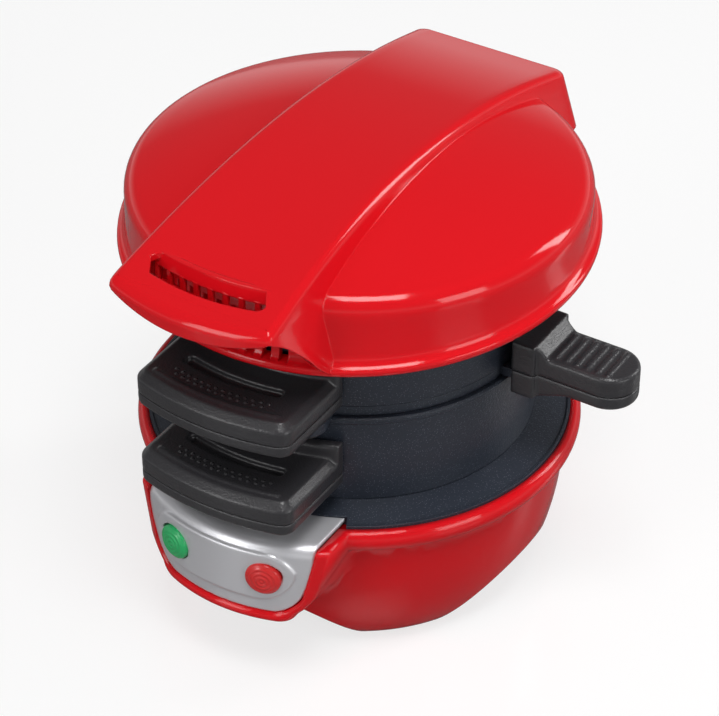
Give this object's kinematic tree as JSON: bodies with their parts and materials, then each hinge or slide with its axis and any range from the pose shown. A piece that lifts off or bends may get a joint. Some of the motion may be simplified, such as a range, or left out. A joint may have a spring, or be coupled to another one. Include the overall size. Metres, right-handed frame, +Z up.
{
  "type": "breakfast sandwich maker",
  "caption": "Round countertop sandwich maker: heated base, two hinged cooking rings with a swing-out plate between them, domed heated cover with a front visor and rear hinge.",
  "frame": {"origin": "middle of the closed appliance's outline, on the surface that it stands on", "axes": "+Z up, -Y towards the user, +X to the side of the cooking plate's grip"},
  "size_m": [0.1788, 0.1898, 0.1632],
  "materials": {
    "red_plastic": "gloss",
    "black_plastic": "satin",
    "silver_plastic": "satin silver paint",
    "white_plastic": "matte",
    "circuit_board": "satin",
    "green_lens": "gloss translucent",
    "red_lens": "gloss translucent",
    "lamp_glass": "clear",
    "non_stick": "dark grey non-stick coating",
    "sheet_steel": "satin",
    "zinc_steel": "zinc plated",
    "black_steel": "satin black",
    "foot_rubber": "matte"
  },
  "bodies": {
    "base": {"base_housing": "red_plastic", "bottom_cover": "black_plastic", "cover_plate_screws": "zinc_steel", "rubber_feet": "foot_rubber", "drip_tray": "non_stick", "bottom_heating_plate": "non_stick", "bottom_heat_shield": "sheet_steel", "plate_screws": "zinc_steel", "bottom_element": "sheet_steel", "thermostat": "sheet_steel", "thermal_fuse": "sheet_steel", "terminal_block": "white_plastic", "cord_gland": "black_plastic", "lamp_board": "circuit_board", "indicator_lamps": "lamp_glass", "preheat_lens": "green_lens", "power_lens": "red_lens", "front_panel": "silver_plastic", "hinge_tower": "black_plastic", "tower_screws": "zinc_steel", "hinge_pin": "zinc_steel", "pin_clips": "zinc_steel"},
    "bottom_ring": {"bottom_ring": "non_stick", "bottom_handle_top": "black_plastic", "bottom_handle_base": "black_plastic", "bottom_handle_screws": "zinc_steel"},
    "top_ring": {"top_ring": "non_stick", "top_handle_top": "black_plastic", "top_handle_base": "black_plastic", "top_handle_screws": "zinc_steel", "swivel_pin": "zinc_steel"},
    "cooking_plate": {"cooking_plate": "non_stick", "plate_handle_top": "black_plastic", "plate_handle_base": "black_plastic", "plate_handle_screws": "zinc_steel"},
    "cover": {"cover_shell": "red_plastic", "vent_grille": "black_plastic", "cover_liner": "black_plastic", "cover_screws": "zinc_steel", "top_heat_shield": "sheet_steel", "top_heating_plate": "non_stick", "top_plate_screws": "zinc_steel", "top_element": "sheet_steel", "top_thermostat": "sheet_steel", "cover_hinge_bracket": "black_steel", "bracket_screws": "zinc_steel"}
  },
  "joints": [
    {"name": "bottom_ring_lift", "type": "hinge", "parent": "base", "child": "bottom_ring", "pos_m": [-0.01185, 0.08245, 0.1], "axis": [-1, 0, 0], "range_deg": [0, 20]},
    {"name": "top_ring_lift", "type": "hinge", "parent": "bottom_ring", "child": "top_ring", "pos_m": [-0.01185, 0.08245, 0.1], "axis": [-1, 0, 0], "range_deg": [0, 25]},
    {"name": "cover_lift", "type": "hinge", "parent": "top_ring", "child": "cover", "pos_m": [-0.01185, 0.08245, 0.1], "axis": [-1, 0, 0], "range_deg": [0, 95]},
    {"name": "cooking_plate_swing", "type": "hinge", "parent": "top_ring", "child": "cooking_plate", "pos_m": [0.00811, -0.05772, 0.0936], "axis": [0, 0, -1], "range_deg": [0, 122]}
  ]
}
